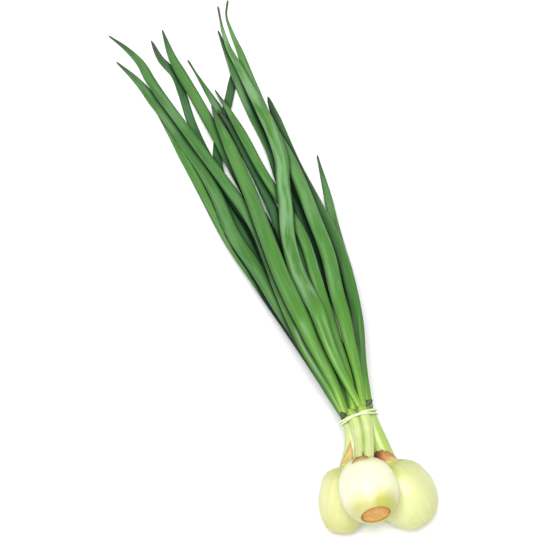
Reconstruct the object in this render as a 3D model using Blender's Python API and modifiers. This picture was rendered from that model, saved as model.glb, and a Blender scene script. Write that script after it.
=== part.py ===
"""A bunch of three spring onions, tied round their necks with a thin rubber band, lying on its side.

The bunch lies along Y. The bulbs are at the -Y end, two on the ground and one in the groove on top of
them, and the leaves run to +Y and come down on the ground. Every number below is in millimetres and is
measured from the middle of the bunch under the band: across is +X, along is +Y, up is +Z from the
ground. metres() turns such a place into the part's own frame.
"""
import math
from collections import namedtuple

import bmesh
import bpy
import numpy as np
from mathutils import Matrix, Vector

MILLIMETRE = 0.001
BAND_PLACE = (4.95, -139.3)  # where the band sits in the part's frame, across and along
TOUCH_GAP = 0.3              # left between two pieces that touch
WELD = 1e-6                  # metres, the distance at which the loose caps of a curve are merged
SMOOTH_ANGLE = 50            # degrees, the edges blunter than this are shaded smooth

# The onions. centre is the middle of a bulb's widest ring, root_way points from there out through the
# root end, which is depth away. A neck is (across, up, radius) where the band holds it.
# shoulder is how far the bulb's shoulder reaches past that ring, as a share of the radius, and flare is
# how much wider a neck is at the bulb than under the band.
Onion = namedtuple("Onion", "name centre root_way radius depth root_radius shoulder flare necks")
ONIONS = (
    Onion("left", (-25.3, -42.6, 17.2), (-0.37, -0.81, -0.46), 15.8, 19.8, 8.2, 1.24, 0.65,
          ((-5.9, 34.5, 4.4),)),
    Onion("right", (12.2, -53.4, 19.9), (0.27, -0.88, -0.39), 19.7, 20.4, 9.6, 1.14, 0.55,
          ((6.6, 36.0, 4.8),)),
    Onion("middle", (-13.7, -51.8, 52.8), (-0.145, -0.95, 0.275), 18.4, 18.2, 9.8, 1.12, 0.5,
          ((-3.9, 42.8, 3.5), (2.8, 44.0, 3.6))),
)
SHOULDER_BLEND = 1.7         # low for a long slope from the shoulder into the neck, high for a sharp one
STALK_GROWN = 0.8            # the share of the shoulder over which the neck comes out of the bulb
NECK_LEAVES = 0.4            # how long a neck keeps the bulb's own direction, as a share of its reach
NECK_ENTERS = 0.35           # how long it runs square to the band before it gets there, likewise
NECK_RINGS = 12
ROOT_RING_ANGLES = (90, 72, 57, 43, 29, 14, 0)
SECOND_NECK_AHEAD = 0.35     # where the middle bulb's second neck starts, as shares of its radius
SECOND_NECK_ASIDE = 0.22
SECOND_NECK_SWELL = 0.5
BULB_SIDES = 24
NECK_SIDES = 14

# The root plates: shares of the rim's radius and of the thickness, from the middle to the seat.
ROOT_PLATE_THICK = 1.2
ROOT_RIM = 0.7               # the edge of the bulb that stands round its root plate
ROOT_PLATE_PROFILE = ((0.0, 0.75), (0.22, 1.0), (0.42, 0.72), (0.66, 0.95), (0.9, 0.7), (1.0, 0.3),
                      (0.94, 0.0), (0.0, 0.0))
ROOT_PLATE_SIDES = 20
ROOT_SEAT_SIDES = 24

# The rubber band goes round twice.
BAND_THICK = 2.0
BAND_STEPS = 40
BAND_SIDES = 8
BAND_MEETS = 0.35            # where the two turns lie closest, as a share of the way from left to right
BAND_DRIFTS = (1.6, 0.5, 2.5)  # how far the second turn lies towards the bulbs on the left, there and right
BAND_LEAN = 0.2              # how far both lean towards the bulbs with height, per millimetre of it

# The leaves, from the lowest in the pile to the highest. Each route is (along, across).
Leaf = namedtuple("Leaf", "name onion neck width route")
LEAVES = (
    Leaf("c", "left", 0, 8.5, ((27, -10.5), (76, -17.5), (119, -25), (164, -32.3), (206, -36),
                               (251, -41), (281, -46))),
    Leaf("u", "left", 0, 8.0, ((27, -11), (60, -14), (94, -15), (134, -17), (168, -18), (212, -24))),
    Leaf("t", "left", 0, 8.0, ((25, -2), (60, -3), (100, -4), (140, -3), (175, -3), (205, -5))),
    Leaf("v", "right", 0, 9.0, ((27, 12), (58, 17), (96, 19), (128, 21), (154, 22), (190, 23.5),
                                (215, 24))),
    Leaf("x", "right", 0, 7.5, ((30, 12), (70, 19), (110, 26), (146, 28), (180, 26), (214, 22))),
    Leaf("h", "left", 0, 9.0, ((27, -10), (70, -15), (120, -19.5), (165, -23), (210, -27), (240, -31))),
    Leaf("d", "left", 0, 7.5, ((30, -10), (60, -16), (106, -17), (137, -14), (182, -15), (222, -23),
                               (264, -25), (289, -23.5), (304, -23.5), (321, -29), (339, -30.5))),
    Leaf("f", "right", 0, 8.0, ((50, 7), (92, 6), (136, 6), (182, 5), (221, 3), (255, -1.5), (284, -6),
                                (314, -10.5))),
    Leaf("w", "right", 0, 7.5, ((53, 5), (101, -3), (156, -13), (182, -18.5), (200, -21), (216, -20),
                                (237, -13), (262, 2), (280, 12), (296, 20))),
    Leaf("e", "left", 0, 9.5, ((30, -8), (76, -11), (126, -9.5), (181, -7.5), (233, -12), (278, -16),
                               (316, -20.7), (345, -20))),
    Leaf("o", "right", 0, 8.0, ((45, 15.5), (83, 22), (108, 26), (151, 30), (189, 29.5), (226, 28),
                                (265, 26))),
    Leaf("b", "left", 0, 9.5, ((39, -14), (79, -20), (122, -24), (161, -29), (193, -29), (220, -31),
                               (251, -37), (284, -44.5), (311, -52), (330, -60.5))),
    Leaf("i", "right", 0, 8.0, ((50, 2), (91, 0), (134, 2), (173, 4), (210, 3), (245, -1), (262, -5))),
    Leaf("p", "right", 0, 7.0, ((22, 12.5), (63, 24.5), (106, 32.5), (143, 39.5), (173, 45.5),
                                (205, 50.5))),
    Leaf("a", "left", 0, 8.5, ((25, -11), (56, -17), (93, -17), (127, -15), (153, -14), (204, -21.5),
                               (229, -26.5), (263, -34), (289, -39.7), (305, -42.2), (323, -44.5),
                               (339, -50.5), (354, -59))),
    Leaf("m", "right", 0, 8.5, ((31, 14.5), (73, 25.5), (120, 33), (160, 32.5), (202, 31.5), (241, 33),
                                (263, 34))),
    Leaf("g", "left", 0, 11.0, ((28, -7.5), (60, -12), (101, -13), (142, -11), (184, -8), (226, -8),
                                (250, -8.5), (266, -8))),
    Leaf("j", "middle", 0, 8.0, ((25, 2), (70, 5), (131, 10), (162, 14), (190, 17.5), (221, 19.8),
                                 (256, 18), (283, 17.5), (302, 18.2), (330, 18.8))),
    Leaf("q", "middle", 0, 7.8, ((20, 2), (60, 5), (101, 9.5), (143, 14), (174, 11), (206, 7),
                                 (227, 5.5), (259, 2), (279, -1))),
    Leaf("l", "middle", 1, 10.0, ((14, 7), (52, 13), (85, 18), (114, 23.5), (148, 26), (196, 28),
                                  (239, 25.5), (273, 26), (307, 28), (326, 28), (342, 29.5), (354, 35))),
    Leaf("n", "middle", 1, 10.5, ((44, -2), (85, -1.5), (112, -0.5), (141, 4.5), (161, 10.5), (185, 17),
                                  (197, 21), (220, 24), (265, 23), (293, 21.5), (308, 20.5), (328, 22),
                                  (351, 26))),
)
LEAF_FLATNESS = 0.5          # a leaf's thickness as a share of its width
LEAF_SIDES = 8
LEAF_START = 3.0             # along, inside the sheath
LEAF_AT_START = 0.6          # half a leaf's width where it starts, as a share of its neck's radius
LEAF_GROWN = 75.0            # along, where a leaf has its full width
LEAF_NARROWS = 0.22          # the share of its width that it loses slowly over its length
TIP = (42.0, 0.62)           # the length of a leaf's drawn-out tip, and how fine it is
FINE_TIPS = {"d": (25.0, 0.5), "w": (15.0, 0.4), "m": (22.0, 0.5), "l": (85.0, 0.9), "n": (110.0, 0.8)}
TIP_HALF_WIDTH = 0.8
START_ASIDE = 0.3            # how far from its neck's middle a leaf may start, as a share of the radius
START_ABOVE = 0.4
LEAN_AT = 60.0               # along, where a leaf's lean to the left or right is read
LEAN_FULL = 10.0             # the offset there that counts as a full lean
SHEATH_START = 0.4           # along, just past the end of the neck and still under the band
SHEATH_LENGTH = 13.0         # along, to where the leaves of one neck are one stalk
SHEATH_TAPER = 0.75
SHEATH_SIDES = 12

# The pile of leaves.
LEAF_GAP = 0.6               # kept between leaves that cross
GRID = 6.0                   # the step along the bunch at which the pile is worked out
RING_GRIDS = 3               # a leaf has a ring at every third step
SAG_LENGTH = 220.0           # along, where a leaf with nothing under it has come down to the ground
PART_FROM = 15.0             # along, where the leaves of one onion begin to part
PART_OVER = 55.0             # the length over which they do
EASE_ROUNDS = 30             # how often the height of a leaf is eased along its length

# Leaves cut off short above the band: the onion, the radius, and where they end, along, across and up.
STUBS = (
    ("left", 2.0, 5.0, -9.0, 38.5),
    ("right", 2.2, 9.0, 10.2, 40.5),
)
STUB_SWELL = 1.1
STUB_SIDES = 8

GREEN = (0.10, 0.30, 0.06, 1.0)
CREAM = (0.86, 0.85, 0.46, 1.0)
ROOT_BROWN = (0.62, 0.34, 0.14, 1.0)
BAND_PALE = (0.80, 0.90, 0.55, 1.0)


def metres(place):
    """Turn (across, along, up) from the band, in millimetres, into the part's frame."""
    across, along, up = place
    return Vector((BAND_PLACE[0] + across, BAND_PLACE[1] + along, up)) * MILLIMETRE


def soft_step(value, start, length):
    t = min(1.0, max(0.0, (value - start) / length))
    return t * t * (3 - 2 * t)


def material(name, colour, roughness):
    made = bpy.data.materials.new(name)
    made.use_nodes = True
    shader = made.node_tree.nodes["Principled BSDF"]
    shader.inputs["Base Color"].default_value = colour
    shader.inputs["Roughness"].default_value = roughness
    shader.inputs["Metallic"].default_value = 0.0
    return made


def tube(name, places, radii, sides, section=None, closed=False):
    """A curve object through the places, round or with the given flat section, with filled ends."""
    curve = bpy.data.curves.new(name, "CURVE")
    curve.dimensions = "3D"
    if section is None:
        curve.bevel_depth = 1.0
        curve.bevel_resolution = (sides - 4) // 2
    else:
        curve.twist_mode = "Z_UP"
        curve.bevel_mode = "OBJECT"
        curve.bevel_object = section
    curve.use_fill_caps = not closed
    spline = curve.splines.new("POLY")
    spline.points.add(len(places) - 1)
    spline.use_cyclic_u = closed
    for point, place, radius in zip(spline.points, places, radii):
        point.co = (*metres(place), 1.0)
        point.radius = radius * MILLIMETRE
    made = bpy.data.objects.new(name, curve)
    bpy.context.scene.collection.objects.link(made)
    return made


def closed_mesh(source, collection):
    """Replace a curve, or an object with modifiers, by one closed mesh facing outwards."""
    bpy.context.view_layer.update()
    evaluated = source.evaluated_get(bpy.context.evaluated_depsgraph_get())
    mesh = bpy.data.meshes.new_from_object(evaluated)
    body = bmesh.new()
    body.from_mesh(mesh)
    bmesh.ops.remove_doubles(body, verts=body.verts, dist=WELD)
    bmesh.ops.recalc_face_normals(body, faces=body.faces)
    body.to_mesh(mesh)
    body.free()
    name = source.name
    made = bpy.data.objects.new(name + "_mesh", mesh)
    made.matrix_world = source.matrix_world.copy()
    bpy.data.objects.remove(source)
    made.name = name
    collection.objects.link(made)
    return made


def grown_together(name, pieces, collection):
    """Join pieces that grew as one into one closed body."""
    first, *others = pieces
    first.name = name
    if not others:
        return closed_mesh(first, collection)
    group = bpy.data.collections.new(name + "_pieces")
    for other in others:
        group.objects.link(other)
    union = first.modifiers.new("grown_together", "BOOLEAN")
    union.operation = "UNION"
    union.operand_type = "COLLECTION"
    union.collection = group
    union.solver = "EXACT"
    whole = closed_mesh(first, collection)
    for other in others:
        bpy.data.objects.remove(other)
    bpy.data.collections.remove(group)
    return whole


def finish(piece, look, origin):
    """Give a piece its material and smooth shading, and hang it on the bunch's origin."""
    piece.data.materials.clear()
    piece.data.materials.append(look)
    piece.data.shade_smooth()
    piece.data.set_sharp_from_angle(angle=math.radians(SMOOTH_ANGLE))
    piece.parent = origin


def as_guide(cutter, guides):
    cutter.hide_render = True
    cutter.display_type = "WIRE"
    for holder in list(cutter.users_collection):
        holder.objects.unlink(cutter)
    guides.objects.link(cutter)
    return cutter


def bezier(start, start_handle, end_handle, end, count):
    """Places along one cubic curve, without its first place."""
    places = []
    for step in range(1, count + 1):
        t = step / count
        s = 1 - t
        places.append(s ** 3 * start + 3 * s * s * t * start_handle + 3 * s * t * t * end_handle + t ** 3 * end)
    return places


def neck_route(onion, neck, start):
    """The way from a place in the bulb up to the band, ending square to it."""
    across, up, _ = neck
    end = Vector((across, -TOUCH_GAP / 2, up))
    reach = (end - start).length
    axis = -Vector(onion.root_way).normalized()
    leaving = start + axis * reach * NECK_LEAVES
    entering = end - Vector((0, reach * NECK_ENTERS, 0))
    return bezier(start, leaving, entering, end, NECK_RINGS)


def lengths_along(places, first):
    """How far along the route each place is, the first one being at the given length."""
    lengths = [first]
    for before, after in zip(places, places[1:]):
        lengths.append(lengths[-1] + (after - before).length)
    return lengths


def bulb_radius(onion, distance, neck_radius):
    """The turned profile of a bulb: distance is negative towards the root end, from the widest ring."""
    if distance < 0:
        pole = onion.depth / math.sqrt(1 - (onion.root_radius / onion.radius) ** 2)
        return onion.radius * math.sqrt(1 - (distance / pole) ** 2)
    share = distance / (onion.shoulder * onion.radius)
    shoulder = onion.radius * math.sqrt(max(0.0, 1 - share * share))
    stalk = neck_radius * soft_step(share, 0.0, STALK_GROWN)
    return (shoulder ** SHOULDER_BLEND + stalk ** SHOULDER_BLEND) ** (1 / SHOULDER_BLEND)


def neck_radius_at(onion, neck, length, whole):
    return neck[2] * (1 + onion.flare * min(1.0, (whole - length) / whole))


def bulb_with_neck(onion, scratch):
    """The bulb, turned round its own axis and drawn out into its first neck."""
    centre = Vector(onion.centre)
    axis = -Vector(onion.root_way).normalized()
    rings = [centre - axis * onion.depth * math.sin(math.radians(angle)) for angle in ROOT_RING_ANGLES]
    neck = onion.necks[0]
    places = rings + neck_route(onion, neck, centre)
    lengths = lengths_along(places, -onion.depth)
    radii = [bulb_radius(onion, length, neck_radius_at(onion, neck, length, lengths[-1]))
             for length in lengths]
    return closed_mesh(tube("bulb_" + onion.name, places, radii, BULB_SIDES), scratch)


def second_neck(onion, neck, scratch):
    """A further neck that grows out of the same bulb, beside the first."""
    axis = -Vector(onion.root_way).normalized()
    aside = Vector((1, 0, 0)) * onion.radius * SECOND_NECK_ASIDE
    start = Vector(onion.centre) + axis * onion.radius * SECOND_NECK_AHEAD + aside
    places = [start] + neck_route(onion, neck, start)
    lengths = lengths_along(places, 0.0)
    radii = []
    for length in lengths:
        swell = 1 + SECOND_NECK_SWELL * max(0.0, 1 - length / onion.radius)
        radii.append(neck_radius_at(onion, neck, length, lengths[-1]) * swell)
    return closed_mesh(tube("neck_" + onion.name, places, radii, NECK_SIDES), scratch)


def ground_cutter(guides):
    """A block below the ground, which leaves the small flat spots that the bulbs rest on."""
    bpy.ops.mesh.primitive_cube_add(size=1.0)
    block = bpy.context.object
    block.name = "ground_cutter"
    block.scale = (0.3, 0.3, 0.1)
    block.location = (0.0, -0.1, -0.05)
    return as_guide(block, guides)


def at_root_end(onion, inset):
    """The matrix of a piece that stands at a bulb's root end, its Z pointing out."""
    way = Vector(onion.root_way).normalized()
    place = Vector(onion.centre) + way * (onion.depth - inset)
    return Matrix.Translation(metres(place)) @ way.to_track_quat("Z", "Y").to_matrix().to_4x4()


def root_seat(onion, guides):
    """The shallow round seat in the root end of a bulb that its root plate lies in."""
    reach = ROOT_PLATE_THICK + TOUCH_GAP
    bpy.ops.mesh.primitive_cylinder_add(vertices=ROOT_SEAT_SIDES, depth=2 * reach * MILLIMETRE,
                                        radius=(onion.root_radius - ROOT_RIM) * MILLIMETRE)
    cutter = bpy.context.object
    cutter.name = "root_seat_" + onion.name
    cutter.matrix_world = at_root_end(onion, 0.0)
    return as_guide(cutter, guides)


def root_plate(onion, collection):
    """The corky disc that the roots were cut from, turned, with a low ring and a raised middle."""
    rim = onion.root_radius - ROOT_RIM - TOUCH_GAP
    mesh = bpy.data.meshes.new("root_plate_" + onion.name)
    outline = bmesh.new()
    corners = []
    for out, height in ROOT_PLATE_PROFILE:
        place = Vector((out * rim, 0.0, height * ROOT_PLATE_THICK))
        corners.append(outline.verts.new(place * MILLIMETRE))
    for before, after in zip(corners, corners[1:]):
        outline.edges.new((before, after))
    outline.to_mesh(mesh)
    outline.free()
    plate = bpy.data.objects.new("root_plate_" + onion.name, mesh)
    bpy.context.scene.collection.objects.link(plate)
    turned = plate.modifiers.new("turned", "SCREW")
    turned.steps = turned.render_steps = ROOT_PLATE_SIDES
    turned.use_merge_vertices = True
    turned.merge_threshold = 0.00001
    plate.matrix_world = at_root_end(onion, ROOT_PLATE_THICK)
    return closed_mesh(plate, collection)


def band_outline(swell):
    """The taut outline round the four necks, as (across, up) places, swell outside the necks."""
    circles = [neck for onion in ONIONS for neck in onion.necks]
    outline = []
    for step in range(BAND_STEPS):
        angle = math.tau * step / BAND_STEPS
        way = (math.cos(angle), math.sin(angle))
        across, up, radius = max(circles, key=lambda c: c[0] * way[0] + c[1] * way[1] + c[2])
        outline.append((across + (radius + swell) * way[0], up + (radius + swell) * way[1]))
    return outline


def rubber_band(scratch):
    """Both turns lean with the necks, and the second lies beside the first, on the bulbs' side."""
    outline = band_outline(TOUCH_GAP + BAND_THICK / 2)
    left = min(across for across, _ in outline)
    right = max(across for across, _ in outline)
    low = min(up for _, up in outline)
    high = max(up for _, up in outline)
    on_left, meeting, on_right = BAND_DRIFTS
    turns = []
    for name, drifts in (("first", 0.0), ("second", 1.0)):
        places = []
        for across, up in outline:
            share = (across - left) / (right - left)
            drift = (on_left + (meeting - on_left) * soft_step(share, 0.0, BAND_MEETS)
                     + (on_right - meeting) * soft_step(share, BAND_MEETS, 1 - BAND_MEETS))
            lean = BAND_LEAN * (up - (low + high) / 2)
            places.append((across, -drifts * drift - lean, up))
        ring = tube("rubber_band_" + name, places, [BAND_THICK / 2] * len(places), BAND_SIDES, closed=True)
        turns.append(closed_mesh(ring, scratch))
    return turns


def smooth_through(route):
    """A smooth function across(along) through the route's places."""
    along = np.array([place[0] for place in route], float)
    across = np.array([place[1] for place in route], float)
    slope = np.gradient(across, along)

    def at(value):
        i = int(np.clip(np.searchsorted(along, value) - 1, 0, len(along) - 2))
        span = along[i + 1] - along[i]
        t = float(np.clip((value - along[i]) / span, 0, 1))
        s = 1 - t
        return (across[i] * (1 + 2 * t) * s * s + slope[i] * span * t * s * s
                + across[i + 1] * (3 - 2 * t) * t * t - slope[i + 1] * span * t * t * s)

    return at


def neck_of(leaf):
    return next(onion for onion in ONIONS if onion.name == leaf.onion).necks[leaf.neck]


def half_width(leaf, along, tip):
    """Half the width of a leaf: narrow in its neck, widest in its middle, drawn out to a point."""
    start = neck_of(leaf)[2] * LEAF_AT_START
    grown = start + (leaf.width / 2 - start) * soft_step(along, 0.0, LEAF_GROWN)
    tip_length, fineness = FINE_TIPS.get(leaf.name, TIP)
    drawn_out = min(1.0, (tip - along) / tip_length) ** fineness
    return max(TIP_HALF_WIDTH, grown * (1 - LEAF_NARROWS * (along / tip) ** 2) * drawn_out)


def flat_rows(leaf):
    """At each grid step along a leaf: along, across, its half width across the bunch, its half thickness."""
    neck_across, _, neck_radius = neck_of(leaf)
    lean = math.tanh((smooth_through(leaf.route)(LEAN_AT) - neck_across) / LEAN_FULL)
    start = (0.0, neck_across + START_ASIDE * neck_radius * lean)
    across = smooth_through((start, *leaf.route))
    tip = float(leaf.route[-1][0])
    rows = []
    for step in range(math.ceil(tip / GRID) + 1):
        along = min(step * GRID, tip)
        before, after = max(along - 1.0, 0.0), min(along + 1.0, tip)
        heading = (across(after) - across(before)) / (after - before)
        wide = half_width(leaf, along, tip)
        rows.append((along, across(along), wide * math.hypot(1.0, heading), wide * LEAF_FLATNESS))
    return rows


def height_over(rows, laid, onion_name):
    """The least height of each row of a leaf, over the ground and over the leaves already laid."""
    needed = np.array([thick * math.cos(math.pi / LEAF_SIDES) for _, _, _, thick in rows])
    for other_leaf, other_rows, other_up in laid:
        for step in range(min(len(rows), len(other_rows))):
            along, across, wide, thick = rows[step]
            _, other_across, other_wide, other_thick = other_rows[step]
            apart = soft_step(along, PART_FROM, PART_OVER) if other_leaf.onion == onion_name else 1.0
            reach = wide + other_wide + LEAF_GAP
            offset = abs(across - other_across)
            if offset < reach:
                clear = (thick + other_thick + LEAF_GAP) * apart
                above = other_up[step] + clear * math.sqrt(1 - (offset / reach) ** 2)
                needed[step] = max(needed[step], above)
    return needed


def pile():
    """Lay the leaves one on another, as (leaf, rows, the height of each row)."""
    laid = []
    for leaf in LEAVES:
        kin = [other for other in LEAVES if (other.onion, other.neck) == (leaf.onion, leaf.neck)]
        rank = kin.index(leaf) / (len(kin) - 1)
        _, neck_up, neck_radius = neck_of(leaf)
        start_up = neck_up + START_ABOVE * neck_radius * (2 * rank - 1)
        rows = flat_rows(leaf)
        needed = height_over(rows, laid, leaf.onion)
        thick = np.array([row[3] for row in rows])
        sag = np.array([1 - soft_step(row[0], 0.0, SAG_LENGTH) for row in rows])
        up = np.maximum(thick + (start_up - thick) * sag, needed)
        for _ in range(EASE_ROUNDS):
            eased = up.copy()
            eased[1:-1] = 0.25 * up[:-2] + 0.5 * up[1:-1] + 0.25 * up[2:]
            eased[-1] = 0.5 * (up[-1] + up[-2])
            up = np.maximum(eased, needed)
            up[0] = start_up
            up[1] = max(start_up, needed[1])
        laid.append((leaf, rows, up))
    return laid


def leaf_section(guides):
    """The flattened eight-sided outline that every leaf is drawn with."""
    curve = bpy.data.curves.new("leaf_section", "CURVE")
    curve.dimensions = "2D"
    spline = curve.splines.new("POLY")
    spline.points.add(LEAF_SIDES - 1)
    spline.use_cyclic_u = True
    for number, point in enumerate(spline.points):
        angle = math.tau * (number + 0.5) / LEAF_SIDES
        point.co = (math.cos(angle), LEAF_FLATNESS * math.sin(angle), 0.0, 1.0)
    section = bpy.data.objects.new("leaf_section", curve)
    return as_guide(section, guides)


def sheaths_and_stubs(onion, scratch):
    """The short stalks just past the band, and the leaves that were cut off there."""
    pieces = []
    for across, up, radius in onion.necks:
        places = [(across, SHEATH_START, up), (across, SHEATH_LENGTH, up)]
        sheath = tube("sheath", places, [radius, radius * SHEATH_TAPER], SHEATH_SIDES)
        pieces.append(closed_mesh(sheath, scratch))
    for onion_name, radius, along, across, up in STUBS:
        if onion_name == onion.name:
            neck_across, neck_up, _ = onion.necks[0]
            places = [(neck_across, LEAF_START, neck_up), (across, along, up)]
            stub = tube("stub", places, [radius, radius * STUB_SWELL], STUB_SIDES)
            pieces.append(closed_mesh(stub, scratch))
    return pieces


def leaf_piece(leaf, rows, up, section, scratch):
    """One leaf as a flattened tube along its route, drawn out to its tip."""
    last = len(rows) - 1
    rings = [step for step in range(0, last - 1, RING_GRIDS)] + [last - 1, last]
    places = []
    radii = []
    for step in rings:
        along, across, _, thick = rows[step]
        places.append((across, max(along, LEAF_START), up[step]))
        radii.append(thick / LEAF_FLATNESS)
    return closed_mesh(tube("leaf_" + leaf.name, places, radii, LEAF_SIDES, section=section), scratch)


def build():
    for old in list(bpy.data.objects):
        bpy.data.objects.remove(old)
    bunch = bpy.data.collections.new("spring_onion_bunch")
    guides = bpy.data.collections.new("guides")
    scratch = bpy.data.collections.new("scratch")
    for collection in (bunch, guides, scratch):
        bpy.context.scene.collection.children.link(collection)
    origin = bpy.data.objects.new("bunch_origin", None)
    bunch.objects.link(origin)

    cream = material("onion_skin", CREAM, 0.35)
    green = material("onion_leaf", GREEN, 0.4)
    brown = material("root_cork", ROOT_BROWN, 0.8)
    pale = material("band_rubber", BAND_PALE, 0.5)
    ground = ground_cutter(guides)
    section = leaf_section(guides)
    laid = pile()
    for onion in ONIONS:
        grown = [bulb_with_neck(onion, scratch)]
        grown += [second_neck(onion, neck, scratch) for neck in onion.necks[1:]]
        bulb = grown_together("bulb_" + onion.name, grown, bunch)
        for cutter in (ground, root_seat(onion, guides)):
            carved = bulb.modifiers.new(cutter.name, "BOOLEAN")
            carved.operation = "DIFFERENCE"
            carved.object = cutter
            carved.solver = "EXACT"
        finish(bulb, cream, origin)
        finish(root_plate(onion, bunch), brown, origin)

        tufts = sheaths_and_stubs(onion, scratch)
        tufts += [leaf_piece(*leaf, section, scratch) for leaf in laid if leaf[0].onion == onion.name]
        finish(grown_together("leaves_" + onion.name, tufts, bunch), green, origin)
    finish(grown_together("rubber_band", rubber_band(scratch), bunch), pale, origin)
    bpy.data.collections.remove(scratch)


build()
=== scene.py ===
"""The looks of a bunch of three spring onions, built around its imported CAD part.

Sizes and places are in millimetres and measured from the middle of the bunch under the band: across is
+X, along is +Y towards the leaf tips, up is +Z from the ground. in_frame() turns such a place into the
frame, in metres.
"""
import math
from collections import namedtuple

import bmesh
import bpy
import numpy as np
from mathutils import Matrix, Vector, noise


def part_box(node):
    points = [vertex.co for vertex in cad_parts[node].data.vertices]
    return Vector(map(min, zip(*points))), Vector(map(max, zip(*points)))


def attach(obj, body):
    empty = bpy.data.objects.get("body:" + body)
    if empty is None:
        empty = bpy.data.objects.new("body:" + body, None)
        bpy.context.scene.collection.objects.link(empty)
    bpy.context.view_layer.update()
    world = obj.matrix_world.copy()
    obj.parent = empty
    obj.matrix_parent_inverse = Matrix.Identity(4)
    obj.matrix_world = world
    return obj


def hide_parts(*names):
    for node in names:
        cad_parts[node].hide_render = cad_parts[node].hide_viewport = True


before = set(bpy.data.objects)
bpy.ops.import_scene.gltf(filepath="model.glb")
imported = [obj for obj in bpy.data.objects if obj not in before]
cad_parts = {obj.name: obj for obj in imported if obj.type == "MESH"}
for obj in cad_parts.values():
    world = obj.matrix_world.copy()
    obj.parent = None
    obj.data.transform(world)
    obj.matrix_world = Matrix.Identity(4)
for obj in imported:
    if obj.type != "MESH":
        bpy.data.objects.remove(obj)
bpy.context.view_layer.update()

# The bulbs. Each onion's bulb and pale neck are one body of closely wrapped moist scales. It grew as one
# piece: round, drawn out into a neck, with a flat root end. The upper onion grew two necks from one bulb.
MM = 0.001
BAND_LEFT, BAND_LEAF_SIDE = -12.6, 3.01     # how far the band reaches to the left, and towards the leaves
band_low, band_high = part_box("rubber_band")
BAND_PLACE = Vector((band_low[0], band_high[1], 0.0)) - Vector((BAND_LEFT, BAND_LEAF_SIDE, 0.0)) * MM

Onion = namedtuple("Onion", "name centre root_way radius depth root_radius shoulder flare necks"
                            " neck_green white")
# The last two numbers are how green an onion's neck is, and how white its bulb is all the way round.
ONIONS = (
    Onion("left", (-25.3, -42.6, 17.2), (-0.37, -0.81, -0.46), 15.8, 19.8, 8.2, 1.24, 0.65,
          ((-5.9, 34.5, 4.4),), 0.35, 0.1),
    Onion("right", (12.2, -53.4, 19.9), (0.27, -0.88, -0.39), 19.7, 20.4, 9.6, 1.14, 0.55,
          ((6.6, 36.0, 4.8),), 1.0, 0.2),
    Onion("middle", (-13.7, -51.8, 52.8), (-0.145, -0.95, 0.275), 18.4, 18.2, 9.8, 1.12, 0.5,
          ((-3.9, 42.8, 3.5), (2.8, 44.0, 3.6)), 0.1, 0.65),
)
SHOULDER_BLEND = 1.7         # a higher one makes a harder corner between the shoulder and the neck
STALK_GROWN = 0.8            # the share of the shoulder over which the neck comes to its full radius
NECK_LEAVES = 0.4            # how far the neck's curve follows the bulb's axis, of its whole reach
NECK_ENTERS = 0.35           # and how far it follows the band's
NECK_RINGS = 44
ROOT_RINGS = 22
BULB_SIDES = 96
RIM_ROUND = 0.7              # the rolled edge of the skin round the root end
SEAT_DEPTH = 1.5             # of the hollow that the root plate lies in
BULB_LUMPS = 0.35            # how far the bulb's surface wanders from a turned one
RIBS = 17                    # the veins of the outer scale, which stand out a little
RIB_HEIGHT = 0.07
BULB_SEED = 7.3              # the step in the lumps from one bulb to the next
GROOVE_WIDE = 0.28           # to each side of the line between two necks, in radians
GROUND_GAP = 0.05


def in_frame(place):
    return BAND_PLACE + Vector(place) * MM


def soft_step(value, start, length):
    t = min(1.0, max(0.0, (value - start) / length))
    return t * t * (3 - 2 * t)


def turned(profile, sides):
    """A body turned about Z from a profile of (radius, height) places."""
    body = bmesh.new()
    corners = [body.verts.new((radius, 0.0, height)) for radius, height in profile]
    edges = [body.edges.new(pair) for pair in zip(corners, corners[1:])]
    bmesh.ops.spin(body, geom=corners + edges, cent=(0, 0, 0), axis=(0, 0, 1), angle=math.tau,
                   steps=sides, use_merge=True)
    bmesh.ops.remove_doubles(body, verts=body.verts, dist=0.001)
    bmesh.ops.recalc_face_normals(body, faces=body.faces)
    return body


def grown(name, body, bend, look, slot, nodes, **marks):
    """Bend a straight body into its place. Its straight form and its marks stay on it for the material."""
    straight = [vertex.co.copy() for vertex in body.verts]
    for vertex in body.verts:
        vertex.co = in_frame(bend(vertex.co))
    bmesh.ops.recalc_face_normals(body, faces=body.faces)
    mesh = bpy.data.meshes.new(name)
    body.to_mesh(mesh)
    body.free()
    mesh.shade_smooth()
    grain = mesh.attributes.new("straight", "FLOAT_VECTOR", "POINT")
    grain.data.foreach_set("vector", [number * MM for place in straight for number in place])
    for mark, value in marks.items():
        values = [value(place) if callable(value) else value for place in straight]
        mesh.attributes.new(mark, "FLOAT", "POINT").data.foreach_set("value", values)
    mesh.materials.append(look)
    piece = bpy.data.objects.new(name, mesh)
    bpy.context.scene.collection.objects.link(piece)
    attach(piece, "root")
    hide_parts(*nodes)
    return piece


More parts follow.
